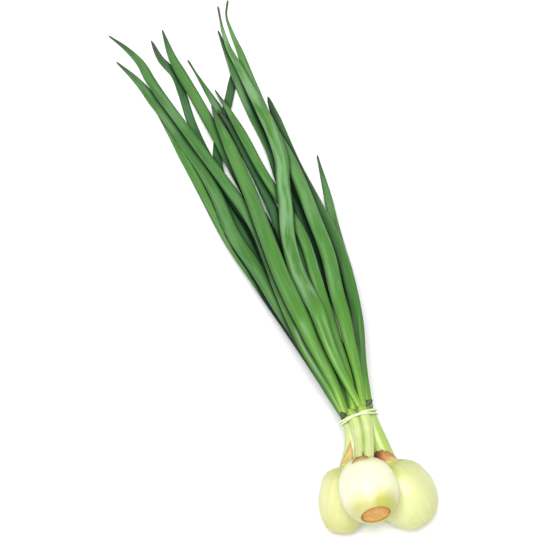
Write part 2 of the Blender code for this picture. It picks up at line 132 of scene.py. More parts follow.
class Stem:
    """The bent line that an onion grew along, as a function of the length from its widest ring."""

    def __init__(self, places, first_length):
        self.lengths = [first_length]
        for before, after in zip(places, places[1:]):
            self.lengths.append(self.lengths[-1] + (after - before).length)
        self.end = self.lengths[-1]
        ways = [(after - before).normalized() for before, after in zip(places, places[1:])]
        ways.append(Vector((0.0, 1.0, 0.0)))
        side = Vector((1.0, 0.0, 0.0))
        sides = []
        for way in reversed(ways):
            side = (side - way * side.dot(way)).normalized()
            sides.append(side.copy())
        sides.reverse()
        self.columns = np.array([[*place, *way, *across]
                                 for place, way, across in zip(places, ways, sides)])

    def at(self, length):
        """The place, the way on, the side and the upper side of the stem there."""
        row = [float(np.interp(length, self.lengths, column)) for column in self.columns.T]
        place, way, side = Vector(row[:3]), Vector(row[3:6]).normalized(), Vector(row[6:]).normalized()
        return place, way, side, side.cross(way)

    def bend(self, straight):
        place, _, side, up = self.at(straight.z)
        return place + side * straight.x + up * straight.y


def stem_of(onion):
    """Straight from the root end to the widest ring, then in one curve to the band."""
    centre = Vector(onion.centre)
    axis = -Vector(onion.root_way).normalized()
    across = sum(neck[0] for neck in onion.necks) / len(onion.necks)
    up = sum(neck[1] for neck in onion.necks) / len(onion.necks)
    end = Vector((across, 0.0, up))
    reach = (end - centre).length
    leaving = centre + axis * reach * NECK_LEAVES
    entering = end - Vector((0.0, reach * NECK_ENTERS, 0.0))
    places = [centre - axis * onion.depth, centre - axis * onion.depth * 0.5]
    for step in range(NECK_RINGS + 1):
        t = step / NECK_RINGS
        s = 1 - t
        places.append(s ** 3 * centre + 3 * s * s * t * leaving + 3 * s * t * t * entering + t ** 3 * end)
    return Stem(places, -onion.depth)


def neck_radius(onion, stem, length, angle):
    """The radius of the neck towards an angle. Two necks stand side by side and part towards the band."""
    radius = sum(neck[2] for neck in onion.necks) / len(onion.necks)
    radius *= 1 + onion.flare * min(1.0, (stem.end - length) / stem.end)
    if len(onion.necks) == 1:
        return radius
    first, second = onion.necks
    apart = math.hypot(second[0] - first[0], second[1] - first[1]) / 2
    apart *= soft_step(length, 0.4 * onion.radius, stem.end - 0.4 * onion.radius)
    turn = angle - math.atan2(second[1] - first[1], second[0] - first[0])
    groove = max(radius ** 2 - (apart * math.sin(turn)) ** 2, (0.42 * radius) ** 2)
    return apart * abs(math.cos(turn)) + math.sqrt(groove)


def bulb_radius(onion, stem, length, angle):
    if length < 0:
        pole = onion.depth / math.sqrt(1 - (onion.root_radius / onion.radius) ** 2)
        return onion.radius * math.sqrt(1 - (length / pole) ** 2)
    share = length / (onion.shoulder * onion.radius)
    shoulder = onion.radius * math.sqrt(max(0.0, 1 - share * share))
    stalk = neck_radius(onion, stem, length, angle) * soft_step(share, 0.0, STALK_GROWN)
    return (shoulder ** SHOULDER_BLEND + stalk ** SHOULDER_BLEND) ** (1 / SHOULDER_BLEND)


def bulb_profile(onion, stem):
    """From the middle of the seat, round the rolled rim and over the bulb to the band."""
    bottom = -onion.depth
    seat = onion.root_radius - RIM_ROUND
    profile = [(0.0, bottom + SEAT_DEPTH), (seat - 0.5, bottom + SEAT_DEPTH),
               (seat, bottom + SEAT_DEPTH - 0.4), (seat, bottom + 0.5), (seat + 0.12, bottom + 0.12),
               (seat + 0.4, bottom)]
    for ring in range(1, ROOT_RINGS):
        profile.append((onion.radius, bottom * math.cos(math.pi / 2 * ring / ROOT_RINGS)))
    rings = 2 * NECK_RINGS
    profile += [(onion.radius, stem.end * ring / rings) for ring in range(rings)]
    profile += [(onion.radius, stem.end - 0.15), (0.0, stem.end - 0.1)]
    return profile


def bulb_bend(onion, stem, seed):
    """How a vertex of the turned bulb comes to its place on the real, slightly uneven one."""
    def bend(straight):
        angle = math.atan2(straight.y, straight.x)
        grown_to = straight.copy()
        if straight.xy.length > onion.root_radius:
            radius = bulb_radius(onion, stem, straight.z, angle)
            lumps = noise.noise(Vector((math.cos(angle), math.sin(angle), straight.z / 26)) * 1.3 + seed)
            ribs = RIB_HEIGHT * math.cos(RIBS * angle + 2.5 * lumps)
            fullness = min(1.0, (straight.z + onion.depth) / 4)
            radius += (BULB_LUMPS * lumps * 2 + ribs) * fullness * min(1.0, radius / onion.radius + 0.2)
            grown_to.x, grown_to.y = radius * math.cos(angle), radius * math.sin(angle)
        place = stem.bend(grown_to)
        place.z = max(place.z, GROUND_GAP)
        return place

    return bend


def bulb_growth(onion, stem):
    """-1 at the root end, 0 at the widest ring, 1 at the shoulder and 2 at the band."""
    shoulder = onion.shoulder * onion.radius

    def growth(straight):
        if straight.z < 0:
            return straight.z / onion.depth
        return min(straight.z / shoulder, 1.0) + max(0.0, straight.z - shoulder) / (stem.end - shoulder)

    return growth


def groove_shade_between(onion, stem):
    """Painted shade in the groove: 1 along the line where two necks lie side by side, 0 away from it."""
    first, last = onion.necks[0], onion.necks[-1]
    line = math.atan2(last[1] - first[1], last[0] - first[0]) + math.pi / 2

    def groove(straight):
        if first is last:
            return 0.0
        angle = math.atan2(straight.y, straight.x) - line
        grown_in = soft_step(straight.z, 0.6 * onion.radius, 0.5 * onion.radius)
        return math.exp(-(angle / GROOVE_WIDE) ** 2) * grown_in

    return groove


def wire(tree, socket, value):
    """Set a socket, or link it to another one."""
    if isinstance(value, bpy.types.NodeSocket):
        tree.links.new(value, socket)
    else:
        socket.default_value = value


def node(tree, kind, inputs, **settings):
    made = tree.nodes.new("ShaderNode" + kind)
    for name, value in settings.items():
        setattr(made, name, value)
    for name, value in inputs.items():
        wire(tree, made.inputs[name], value)
    return made


def read(tree, mark):
    """A mark that is kept on the mesh, as a number or, for the straight form, as a place."""
    made = node(tree, "Attribute", {}, attribute_name=mark)
    return made.outputs["Vector" if mark == "straight" else "Fac"]


def streaks(tree, fineness, stretch, detail=3.0):
    """Noise drawn out along the straight form, as veins are: about one across 1/fineness metres."""
    scaled = node(tree, "Mapping", {"Vector": read(tree, "straight"), "Scale": (1.0, 1.0, stretch)})
    made = node(tree, "TexNoise", {"Vector": scaled.outputs["Vector"], "Scale": fineness, "Detail": detail})
    return made.outputs["Fac"]


def patches(tree, fineness, detail=2.0):
    place = node(tree, "TexCoord", {})
    made = node(tree, "TexNoise", {"Vector": place.outputs["Object"], "Scale": fineness, "Detail": detail})
    return made.outputs["Fac"]


def ranged(tree, value, low, high, to_low=0.0, to_high=1.0):
    made = node(tree, "MapRange", {"Value": value, "From Min": low, "From Max": high, "To Min": to_low,
                                   "To Max": to_high}, interpolation_type="SMOOTHSTEP")
    return made.outputs["Result"]


def ramp(tree, value, stops):
    """Colours by value. stops are (value from 0 to 1, colour)."""
    made = node(tree, "ValToRGB", {"Fac": value})
    points = made.color_ramp.elements
    while len(points) < len(stops):
        points.new(0.5)
    for point, (place, colour) in zip(points, stops):
        point.position = place
        point.color = (*colour, 1.0)
    return made.outputs["Color"]


def blend(tree, share, under, over, how="MIX"):
    made = node(tree, "Mix", {}, data_type="RGBA", blend_type=how)
    for number, value in ((0, share), (6, under), (7, over)):
        if isinstance(value, tuple):
            value = (*value, 1.0)
        wire(tree, made.inputs[number], value)
    return made.outputs[2]


def product(tree, first, second):
    made = node(tree, "Math", {}, operation="MULTIPLY")
    wire(tree, made.inputs[0], first)
    wire(tree, made.inputs[1], second)
    return made.outputs[0]


def finish_of(name, roughness, subsurface=0.0, depth=0.001, specular=0.5):
    """A new material, with what is the same all over it."""
    made = bpy.data.materials.new(name)
    made.use_nodes = True
    shader = made.node_tree.nodes["Principled BSDF"]
    shader.inputs["Roughness"].default_value = roughness
    shader.inputs["Specular IOR Level"].default_value = specular
    shader.inputs["Subsurface Weight"].default_value = subsurface
    shader.inputs["Subsurface Scale"].default_value = depth
    return made, made.node_tree, shader


def relief(tree, shader, height, strength, distance):
    made = node(tree, "Bump", {"Height": height, "Strength": strength, "Distance": distance})
    wire(tree, shader.inputs["Normal"], made.outputs["Normal"])


def onion_skin():
    """Moist cream scale: yellow green at the root end, paler round its middle, veined up the neck, with
    painted shade between two necks.
    """
    made, tree, shader = finish_of("onion_skin", 0.34, subsurface=0.25, depth=0.004)
    growth = ranged(tree, read(tree, "growth"), -1.0, 2.0)
    growth.node.interpolation_type = "LINEAR"
    base = ramp(tree, growth, (
        (0.0, (0.46, 0.43, 0.08)), (0.06, (0.50, 0.48, 0.10)), (0.16, (0.60, 0.58, 0.18)),
        (0.34, (0.70, 0.69, 0.33)), (0.50, (0.69, 0.69, 0.32)), (0.62, (0.60, 0.60, 0.22)),
        (0.72, (0.62, 0.66, 0.32)), (0.88, (0.60, 0.66, 0.32)), (1.0, (0.52, 0.62, 0.22))))
    lime = ramp(tree, growth, (
        (0.60, (0.60, 0.62, 0.24)), (0.68, (0.52, 0.56, 0.18)), (0.78, (0.38, 0.52, 0.12)),
        (1.0, (0.33, 0.50, 0.09))))
    colour = blend(tree, read(tree, "green"), base, lime)
    broad = ranged(tree, streaks(tree, 260.0, 0.06), 0.42, 0.62)
    on_neck = ranged(tree, growth, 0.5, 0.8, 0.2, 0.85)
    colour = blend(tree, product(tree, broad, on_neck), colour, (0.40, 0.54, 0.12))
    # Painted shade in the groove where two necks lie side by side.
    colour = blend(tree, product(tree, read(tree, "groove"), 0.85), colour, (0.24, 0.38, 0.05))
    fine = ranged(tree, streaks(tree, 1100.0, 0.02, 4.0), 0.35, 0.65)
    colour = blend(tree, product(tree, fine, 0.14), colour, (0.42, 0.46, 0.14))
    pale = ranged(tree, patches(tree, 42.0), 0.45, 0.7, 0.0, 0.25)
    colour = blend(tree, pale, colour, (0.78, 0.78, 0.55))
    belt = ramp(tree, growth, (
        (0.06, (0.0, 0.0, 0.0)), (0.2, (1.0, 1.0, 1.0)), (0.46, (1.0, 1.0, 1.0)), (0.6, (0.0, 0.0, 0.0))))
    colour = blend(tree, product(tree, belt, read(tree, "white")), colour, (0.88, 0.88, 0.70))
    wire(tree, shader.inputs["Base Color"], colour)
    wire(tree, shader.inputs["Roughness"], ranged(tree, patches(tree, 90.0), 0.3, 0.7, 0.32, 0.44))
    relief(tree, shader, streaks(tree, 800.0, 0.03, 4.0), 0.25, 0.0003)
    return made


bulb_look = onion_skin()
stems = {}
for number, onion in enumerate(ONIONS):
    stem = stem_of(onion)
    stems[onion.name] = stem
    seed = Vector((BULB_SEED * number, 1.9, 4.1))
    grown("onion_bulb_" + onion.name, turned(bulb_profile(onion, stem), BULB_SIDES),
          bulb_bend(onion, stem, seed), bulb_look, "onion_skin", ["bulb_" + onion.name],
          growth=bulb_growth(onion, stem), green=onion.neck_green, groove=groove_shade_between(onion, stem),
          white=onion.white)

# The root plates. Each is the dry, corky disc that the roots were cut from, sunk in the bulb's root end,
# with a raised middle, a ring of small root scars and a darker, rough edge.
PLATE_THICK = 1.2
PLATE_GAP = 0.3
PLATE_PROFILE = ((0.0, 0.8), (0.12, 0.86), (0.24, 0.98), (0.34, 0.84), (0.45, 0.72), (0.58, 0.8),
                 (0.7, 0.95), (0.8, 0.92), (0.9, 0.7), (0.96, 0.5), (1.0, 0.25), (0.98, 0.0), (0.0, 0.0))
PLATE_SIDES = 64
PLATE_ROUGH = 0.28
SCAR_RINGS = ((0.3, 5), (0.52, 10), (0.74, 15))
SCAR_RADIUS = 0.75
SCAR_UP, SCAR_FLAT = 0.9, 0.45              # how high on the plate a scar sits, and its height


def root_cork():
    """Dry orange-brown cork, mottled, going dark at the rim."""
    made, tree, shader = finish_of("root_cork", 0.8, specular=0.3)
    from_middle = ramp(tree, read(tree, "out"), (
        (0.0, (0.66, 0.39, 0.12)), (0.62, (0.70, 0.40, 0.12)), (0.84, (0.55, 0.27, 0.06)),
        (1.0, (0.36, 0.16, 0.04))))
    spots = ranged(tree, patches(tree, 900.0, 4.0), 0.35, 0.7, 0.0, 0.5)
    colour = blend(tree, spots, from_middle, (0.44, 0.20, 0.05))
    light = ranged(tree, patches(tree, 340.0, 2.0), 0.5, 0.7, 0.0, 0.5)
    colour = blend(tree, light, colour, (0.76, 0.52, 0.24))
    wire(tree, shader.inputs["Base Color"], colour)
    relief(tree, shader, patches(tree, 1600.0, 5.0), 0.7, 0.0004)
    return made


def root_scars(body, rim):
    """Small low domes in rings, where the roots were cut off."""
    for share, count in SCAR_RINGS:
        for number in range(count):
            angle = math.tau * (number + 0.35 * (number % 3)) / count
            size = SCAR_RADIUS * (0.8 + 0.2 * math.cos(5 * number))
            at = Matrix.Translation((share * rim * math.cos(angle), share * rim * math.sin(angle), SCAR_UP))
            squash = Matrix.Diagonal((size, size, SCAR_FLAT, 1.0))
            bmesh.ops.create_icosphere(body, subdivisions=2, radius=1.0, matrix=at @ squash)


cork_look = root_cork()
for onion in ONIONS:
    rim = onion.root_radius - RIM_ROUND - PLATE_GAP
    way = Vector(onion.root_way).normalized()
    turn = way.to_track_quat("Z", "Y").to_matrix()
    foot = Vector(onion.centre) + way * (onion.depth - PLATE_THICK)
    disc = turned([(out * rim, height * PLATE_THICK) for out, height in PLATE_PROFILE], PLATE_SIDES)
    bmesh.ops.subdivide_edges(disc, edges=disc.edges, cuts=1, use_grid_fill=True)
    root_scars(disc, rim)

    def corky(straight, turn=turn, foot=foot, rim=rim):
        rough = noise.noise(straight * 1.1 + foot) + 0.5 * noise.noise(straight * 2.7 + foot)
        lift = PLATE_ROUGH * rough * min(1.0, max(0.0, straight.z))
        return foot + turn @ (straight + Vector((0.0, 0.0, lift)))

    grown("root_disc_" + onion.name, disc, corky, cork_look, "root_cork", ["root_plate_" + onion.name],
          out=lambda straight, rim=rim: min(1.0, straight.xy.length / rim))

# The dry skins. What is left of each onion's outermost scale has dried to a thin brown paper, torn to a
# point on the left neck and to ragged collars where the other bulbs run out into their necks.
Skin = namedtuple("Skin", "name onion angle half_angle low high peak slant torn curl brown")
DRY_SKINS = (
    Skin("dry_tip_left", "left", 110.0, 46.0, 21.0, 27.0, 11.0, 0.0, 0.8, 0.5, (0.1, 0.0)),
    Skin("dry_tear_middle", "middle", 103.0, 19.0, 12.0, 19.0, 7.0, -1.5, 0.8, 0.5, (0.9, 0.8)),
    Skin("dry_collar_right", "right", 112.0, 86.0, 23.5, 31.5, 1.0, 2.0, 1.2, 0.4, (0.0, 1.7)),
)
SKIN_THICK = 0.14
SKIN_CLEAR = 0.12            # between a skin and the bulb where its lumps stand out
TEAR_COARSE, TEAR_FINE, TEAR_FINE_SHARE = 9, 25, 0.6     # how often the torn edge goes in and out
SKIN_CORNERS = 0.6           # under 1 keeps a skin long towards its two ends
PEAK_NARROWS = 1.25
CURL_WAVES = 6
SKIN_COLUMNS = 72
SKIN_ROWS = 14


def dry_paper():
    """Papery dry scale: straw colour at its foot, red brown to near black at its torn edge."""
    made, tree, shader = finish_of("dry_skin", 0.62, specular=0.35)
    edge = ranged(tree, read(tree, "edge"), 0.0, 1.0)
    straw = ramp(tree, edge, (
        (0.0, (0.66, 0.64, 0.25)), (0.45, (0.64, 0.54, 0.19)), (1.0, (0.56, 0.32, 0.11))))
    red = ramp(tree, edge, (
        (0.0, (0.64, 0.42, 0.16)), (0.35, (0.52, 0.19, 0.05)), (0.75, (0.33, 0.09, 0.025)),
        (1.0, (0.12, 0.03, 0.01))))
    colour = blend(tree, read(tree, "brown"), straw, red)
    colour = blend(tree, ranged(tree, read(tree, "brown"), 0.75, 1.35), colour, (0.07, 0.02, 0.008))
    veins = ranged(tree, streaks(tree, 1300.0, 0.04, 4.0), 0.4, 0.62, 0.0, 0.45)
    colour = blend(tree, veins, colour, (0.24, 0.10, 0.03))
    wire(tree, shader.inputs["Base Color"], colour)
    relief(tree, shader, streaks(tree, 1500.0, 0.05, 4.0), 0.6, 0.0003)
    return made


paper_look = dry_paper()
for skin in DRY_SKINS:
    onion = next(onion for onion in ONIONS if onion.name == skin.onion)
    stem = stems[onion.name]
    sheet = bmesh.new()
    bmesh.ops.create_grid(sheet, x_segments=SKIN_COLUMNS, y_segments=SKIN_ROWS, size=1.0)

    def lie(straight, skin=skin, onion=onion, stem=stem):
        """From the unit grid to the bulb: x goes round it, y goes up from the foot to the torn edge."""
        u, up = straight.x, (straight.y + 1) / 2
        angle = math.radians(skin.angle + skin.half_angle * u)
        torn = skin.torn * (noise.noise(Vector((TEAR_COARSE * u, 0.3, skin.angle)))
                            + TEAR_FINE_SHARE * noise.noise(Vector((TEAR_FINE * u, 1.7, skin.angle))))
        closing = max(0.0, 1 - u * u) ** SKIN_CORNERS
        peak = skin.peak * max(0.0, 1 - abs(u) * PEAK_NARROWS)
        foot = skin.low + skin.slant * u
        length = foot + (skin.high - skin.low + torn + peak) * closing * up
        wave = 0.5 + 0.5 * noise.noise(Vector((CURL_WAVES * u, 5.5, skin.angle)))
        proud = SKIN_CLEAR + BULB_LUMPS + skin.curl * up ** 3 * wave * closing
        radius = bulb_radius(onion, stem, length, angle) + proud
        return stem.bend(Vector((radius * math.cos(angle), radius * math.sin(angle), length)))

    def browned(straight, ends=skin.brown):
        return ends[0] + (ends[1] - ends[0]) * (straight.x + 1) / 2

    piece = grown(skin.name, sheet, lie, paper_look, "onion_skin", ["bulb_" + onion.name],
                  edge=lambda straight: (straight.y + 1) / 2, brown=browned)
    wall = piece.modifiers.new("paper", "SOLIDIFY")
    wall.thickness = SKIN_THICK * MM
    wall.offset = 1.0

# The leaves. Each is a hollow, pointed green tube that has gone partly flat, waxy and finely veined, and
# pale where it leaves its neck under the band. They lie one on another, from the lowest in the list up.
# Their colour carries painted shade under and close beside the leaves above, along their edges, and in
# the near black green of low leaves.
Leaf = namedtuple("Leaf", "name onion neck width tone bloom route")
# A leaf's tone goes from deep to fresh green. The darkest tones, on low leaves, are partly painted shade:
# near black green where the pile shades them.
LEAVES = (
    Leaf("c", "left", 0, 8.5, 0.35, 0.3, ((27, -10.5), (76, -17.5), (119, -25), (164, -32.3), (206, -36),
                                          (251, -41), (281, -46))),
    Leaf("u", "left", 0, 8.0, -0.6, 0.1, ((27, -11), (60, -14), (94, -15), (134, -17), (168, -18),
                                          (212, -24))),
    Leaf("t", "left", 0, 8.0, -0.6, 0.1, ((25, -2), (60, -3), (100, -4), (140, -3), (175, -3),
                                          (205, -5))),
    Leaf("v", "right", 0, 9.0, -0.6, 0.1, ((27, 12), (58, 17), (96, 19), (128, 21), (154, 22),
                                           (190, 23.5), (215, 24))),
    Leaf("x", "right", 0, 7.5, -0.6, 0.1, ((30, 12), (70, 19), (110, 26), (146, 28), (180, 26),
                                           (214, 22))),
    Leaf("h", "left", 0, 9.0, -0.6, 0.1, ((27, -10), (70, -15), (120, -19.5), (165, -23), (210, -27),
                                          (240, -31))),
    Leaf("d", "left", 0, 7.5, -0.4, 0.2, ((30, -10), (60, -16), (106, -17), (137, -14), (182, -15),
                                          (222, -23), (264, -25), (289, -23.5), (304, -23.5), (321, -29),
                                          (339, -30.5))),
    Leaf("f", "right", 0, 8.0, -0.1, 0.4, ((50, 7), (92, 6), (136, 6), (182, 5), (221, 3), (255, -1.5),
                                           (284, -6), (314, -10.5))),
    Leaf("w", "right", 0, 7.5, -0.4, 0.1, ((53, 5), (101, -3), (156, -13), (182, -18.5), (200, -21),
                                           (216, -20), (237, -13), (262, 2), (280, 12), (296, 20))),
    Leaf("e", "left", 0, 9.5, 0.3, 0.1, ((30, -8), (76, -11), (126, -9.5), (181, -7.5), (233, -12),
                                         (278, -16), (316, -20.7), (345, -20))),
    Leaf("o", "right", 0, 8.0, -0.4, 0.2, ((45, 15.5), (83, 22), (108, 26), (151, 30), (189, 29.5),
                                           (226, 28), (265, 26))),
    Leaf("b", "left", 0, 9.5, 0.1, 0.3, ((39, -14), (79, -20), (122, -24), (161, -29), (193, -29),
                                         (220, -31), (251, -37), (284, -44.5), (311, -52),
                                         (330, -60.5))),
    Leaf("i", "right", 0, 8.0, -0.5, 0.1, ((50, 2), (91, 0), (134, 2), (173, 4), (210, 3), (245, -1),
                                           (262, -5))),
    Leaf("p", "right", 0, 7.0, 0.0, 0.3, ((22, 12.5), (63, 24.5), (106, 32.5), (143, 39.5), (173, 45.5),
                                          (205, 50.5))),
    Leaf("a", "left", 0, 8.5, 0.1, 0.3, ((25, -11), (56, -17), (93, -17), (127, -15), (153, -14),
                                         (204, -21.5), (229, -26.5), (263, -34), (289, -39.7),
                                         (305, -42.2), (323, -44.5), (339, -50.5), (354, -59))),
    Leaf("m", "right", 0, 8.5, 0.0, 0.3, ((31, 14.5), (73, 25.5), (120, 33), (160, 32.5), (202, 31.5),
                                          (241, 33), (263, 34))),
    Leaf("g", "left", 0, 11.0, 0.4, 0.15, ((28, -7.5), (60, -12), (101, -13), (142, -11), (184, -8),
                                           (226, -8), (250, -8.5), (266, -8))),
    Leaf("j", "middle", 0, 8.0, 0.0, 0.4, ((25, 2), (70, 5), (131, 10), (162, 14), (190, 17.5),
                                           (221, 19.8), (256, 18), (283, 17.5), (302, 18.2),
                                           (330, 18.8))),
    Leaf("q", "middle", 0, 7.8, 0.3, 0.5, ((20, 2), (60, 5), (101, 9.5), (143, 14), (174, 11), (206, 7),
                                           (227, 5.5), (259, 2), (279, -1))),
    Leaf("l", "middle", 1, 10.0, 0.4, 0.4, ((14, 7), (52, 13), (85, 18), (114, 23.5), (148, 26),
                                            (196, 28), (239, 25.5), (273, 26), (307, 28), (326, 28),
                                            (342, 29.5), (354, 35))),
    Leaf("n", "middle", 1, 10.5, 0.4, 0.9, ((44, -2), (85, -1.5), (112, -0.5), (141, 4.5), (161, 10.5),
                                            (185, 17), (197, 21), (220, 24), (265, 23), (293, 21.5),
                                            (308, 20.5), (328, 22), (351, 26))),
)
LEAF_FLATNESS = 0.5          # its thickness, of its width
SOLID_SIDES = 8              # the sides of the CAD leaf, which the heights are reckoned for
LEAF_START = 3.0             # past the band
LEAF_AT_START = 0.6          # its half width by the band, of its neck's radius
LEAF_GROWN = 75.0            # the length over which it comes to its full width
LEAF_NARROWS = 0.22          # the share of its width that it loses towards its tip
TIP = (42.0, 0.62)           # the length of a leaf's drawn-out tip, and how fine it is
FINE_TIPS = {"d": (25.0, 0.5), "w": (15.0, 0.4), "m": (22.0, 0.5), "l": (85.0, 0.9), "n": (110.0, 0.8)}
TIP_HALF_WIDTH = 0.8
START_ASIDE = 0.3            # how far a leaf starts to the side in its neck, of the neck's radius
START_ABOVE = 0.4            # and how far above or below its middle
LEAN_AT = 60.0               # how far along a leaf its lean to one side is read
LEAN_FULL = 10.0
LEAF_GAP = 0.6               # between leaves that cross
GRID = 6.0                   # the steps along the bunch in which the pile is worked out
SAG_LENGTH = 220.0           # the length over which a leaf comes down from its neck to the ground
PART_FROM = 15.0             # where the leaves of one onion begin to lie clear of each other
PART_OVER = 55.0
EASE_ROUNDS = 30             # how often the heights along a leaf are evened out
LEAF_SIDES = 28
LEAF_RING_STEP = 2.4
LEAF_SEED = 3.7              # the step in the unevenness from one leaf to the next
LEAF_FORMED = (12.0, 40.0)   # where a leaf begins to be uneven, and over what length it gets so
WIDTH_WAVERS = (0.04, 45)    # the share by which its width goes up and down, and the length of a wave
THICKNESS_WAVERS = (0.22, 38)
EDGE_SHARP = 1.15            # over 1 makes its two edges sharper than an ellipse's
LEAF_TWIST = (8.0, 70)       # degrees, how far a leaf turns to and fro along its length, and the wave
LEAF_CREASE = (0.42, 50)     # how deep it is pressed in along its upper half, and the wave
CREASE_WANDERS = (0.35, 60)  # how far from its middle the crease goes, of its half width
CREASE_WIDE = 0.33
CREASE_DEEPEST = 0.6
SLIM_TIPS = {"f": (70.0, 0.4)}   # a leaf that is thinner towards its tip than its CAD body
SHADE_REACH = 3.5            # the painted shade fades out over this, from 0.5 inside the upper leaf's edge
LONG_SHADE = {"m": 7.0, "c": 0.4}   # the leaves where the painted shade goes further, or less far
# how dark the painted shade gets at most, and its near black green
SHADE_FULL, SHADE_COLOUR = 0.95, (0.002, 0.014, 0.007)


def smooth_through(route):
    """A smooth function across(along) through the route's places."""
    along = np.array([place[0] for place in route], float)
    across = np.array([place[1] for place in route], float)
    slope = np.gradient(across, along)

    def at(value):
        i = int(np.clip(np.searchsorted(along, value) - 1, 0, len(along) - 2))
        span = along[i + 1] - along[i]
        t = float(np.clip((value - along[i]) / span, 0, 1))
        s = 1 - t
        return (across[i] * (1 + 2 * t) * s * s + slope[i] * span * t * s * s
                + across[i + 1] * (3 - 2 * t) * t * t - slope[i + 1] * span * t * t * s)

    return at


def neck_of(leaf):
    return next(onion for onion in ONIONS if onion.name == leaf.onion).necks[leaf.neck]


def half_width(leaf, along):
    """Half the width of a leaf: narrow in its neck, widest in its middle, drawn out to a point."""
    start = neck_of(leaf)[2] * LEAF_AT_START
    full = start + (leaf.width / 2 - start) * soft_step(along, 0.0, LEAF_GROWN)
    tip_length, fineness = FINE_TIPS.get(leaf.name, TIP)
    tip = leaf.route[-1][0]
    drawn_out = min(1.0, (tip - along) / tip_length) ** fineness
    return max(TIP_HALF_WIDTH, full * (1 - LEAF_NARROWS * (along / tip) ** 2) * drawn_out)


def flat_route(leaf):
    """The leaf's across(along), from its place in its neck."""
    neck_across, _, radius = neck_of(leaf)
    lean = math.tanh((smooth_through(leaf.route)(LEAN_AT) - neck_across) / LEAN_FULL)
    return smooth_through(((0.0, neck_across + START_ASIDE * radius * lean), *leaf.route))


def flat_rows(leaf):
    """Each grid step of a leaf: along, across, half its width across the bunch, half its thickness."""
    across = flat_route(leaf)
    tip = float(leaf.route[-1][0])
    rows = []
    for step in range(math.ceil(tip / GRID) + 1):
        along = min(step * GRID, tip)
        before, after = max(along - 1.0, 0.0), min(along + 1.0, tip)
        heading = (across(after) - across(before)) / (after - before)
        wide = half_width(leaf, along)
        rows.append((along, across(along), wide * math.hypot(1.0, heading), wide * LEAF_FLATNESS))
    return rows


def height_over(rows, laid, onion_name):
    """The least height of each row of a leaf, over the ground and over the leaves already laid."""
    needed = np.array([thick * math.cos(math.pi / SOLID_SIDES) for _, _, _, thick in rows])
    for other_leaf, other_rows, other_up in laid:
        for step in range(min(len(rows), len(other_rows))):
            along, across, wide, thick = rows[step]
            _, other_across, other_wide, other_thick = other_rows[step]
            apart = soft_step(along, PART_FROM, PART_OVER) if other_leaf.onion == onion_name else 1.0
            reach = wide + other_wide + LEAF_GAP
            offset = abs(across - other_across)
            if offset < reach:
                clear = (thick + other_thick + LEAF_GAP) * apart
                above = other_up[step] + clear * math.sqrt(1 - (offset / reach) ** 2)
                needed[step] = max(needed[step], above)
    return needed


def pile():
    """Lay the leaves one on another, as (leaf, rows, the height of each row)."""
    laid = []
    for leaf in LEAVES:
        kin = [other for other in LEAVES if (other.onion, other.neck) == (leaf.onion, leaf.neck)]
        rank = kin.index(leaf) / (len(kin) - 1)
        _, neck_up, radius = neck_of(leaf)
        start_up = neck_up + START_ABOVE * radius * (2 * rank - 1)
        rows = flat_rows(leaf)
        needed = height_over(rows, laid, leaf.onion)
        thick = np.array([row[3] for row in rows])
        sag = np.array([1 - soft_step(row[0], 0.0, SAG_LENGTH) for row in rows])
        up = np.maximum(thick + (start_up - thick) * sag, needed)
        for _ in range(EASE_ROUNDS):
            eased = up.copy()
            eased[1:-1] = 0.25 * up[:-2] + 0.5 * up[1:-1] + 0.25 * up[2:]
            eased[-1] = 0.5 * (up[-1] + up[-2])
            up = np.maximum(eased, needed)
            up[0] = start_up
            up[1] = max(start_up, needed[1])
        laid.append((leaf, rows, up))
    return laid


def leaf_bend(leaf, rows, up, seed):
    """How a vertex of the straight round leaf comes to its place on the flattened, lying one."""
    across = flat_route(leaf)
    height = smooth_through([(row[0], level) for row, level in zip(rows, up)])
    tip = float(leaf.route[-1][0])

    def wander(along, length, lane):
        """A smooth to and fro, about from -1 to 1, and another one in each lane."""
        return noise.noise(Vector((along / length, seed, lane))) * 1.6

    def bend(straight):
        along = straight.z
        before, after = max(along - 1.5, 0.0), min(along + 1.5, tip)
        run = after - before
        way = Vector((across(after) - across(before), run, height(after) - height(before))).normalized()
        side = way.cross(Vector((0.0, 0.0, 1.0))).normalized()
        over = side.cross(way)
        if over.z < 0:
            over.negate()
        grown_in = soft_step(along, *LEAF_FORMED)
        share, wave = WIDTH_WAVERS
        wide = straight.xy.length * (1 + share * grown_in * wander(along, wave, 0.5))
        share, wave = THICKNESS_WAVERS
        thick = straight.xy.length * LEAF_FLATNESS * (1 + share * grown_in * wander(along, wave, 3.5))
        angle = math.atan2(straight.y, straight.x)
        x, y = math.cos(angle), math.sin(angle)
        y = math.copysign(abs(y) ** EDGE_SHARP, y)
        share, wave = CREASE_WANDERS
        centre = share * wander(along, wave, 7.5)
        share, wave = LEAF_CREASE
        pressed = share * grown_in * max(0.0, 0.35 + wander(along, wave, 9.5))
        if y > 0:
            y *= 1 - min(CREASE_DEEPEST, pressed) * math.exp(-((x - centre) / CREASE_WIDE) ** 2)
        most, wave = LEAF_TWIST
        turn = math.radians(most) * grown_in * wander(along, wave, 12.5)
        x, y = wide * x, thick * y
        x, y = x * math.cos(turn) - y * math.sin(turn), x * math.sin(turn) + y * math.cos(turn)
        place = Vector((across(along), along, height(along))) + side * x + over * y
        place.z = max(place.z, GROUND_GAP)
        return place

    return bend


